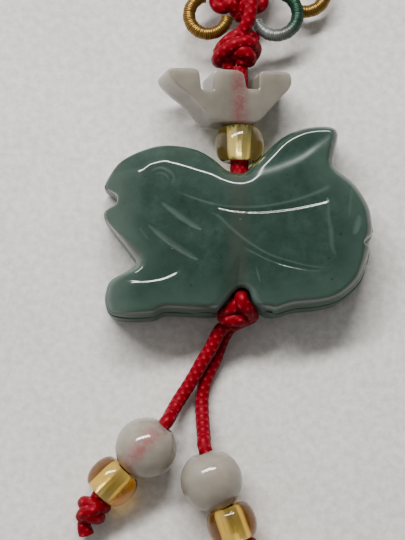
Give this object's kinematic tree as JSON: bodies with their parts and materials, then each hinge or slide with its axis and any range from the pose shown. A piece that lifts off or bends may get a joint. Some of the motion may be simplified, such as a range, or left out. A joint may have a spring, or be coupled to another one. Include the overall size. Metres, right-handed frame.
{
  "type": "pendant",
  "caption": "jade pendant carved as a crouching rabbit, on red cord with amber glass, white jade and metallic thread ears",
  "frame": {"origin": "on the plaque's flat back, under the middle of its drilled hole", "axes": "X to the carving's right, Y along the hole towards the hanging loop, Z out of the carved face"},
  "size_m": [0.0385, 0.144, 0.0102],
  "materials": {
    "jade": "polished",
    "white_jade": "polished",
    "amber_glass": "clear",
    "gold_lining": "polished",
    "red_cord": "satin",
    "gold_thread": "metallic",
    "green_thread": "metallic"
  },
  "bodies": {
    "root": {"jade_plaque": "jade", "flower_bead": "white_jade", "glass_bead_top": "amber_glass", "glass_bead_left": "amber_glass", "glass_bead_right": "amber_glass", "round_bead_left": "white_jade", "round_bead_right": "white_jade", "core_cord": "red_cord", "upper_knot": "red_cord", "lower_knot": "red_cord", "tail_cord_left": "red_cord", "tail_cord_right": "red_cord", "end_knot_left": "red_cord", "end_knot_right": "red_cord", "top_knot": "red_cord", "ear_gold_left": "gold_thread", "ear_green_right": "green_thread", "ear_gold_right": "gold_thread", "hanging_loop": "red_cord"}
  },
  "joints": []
}
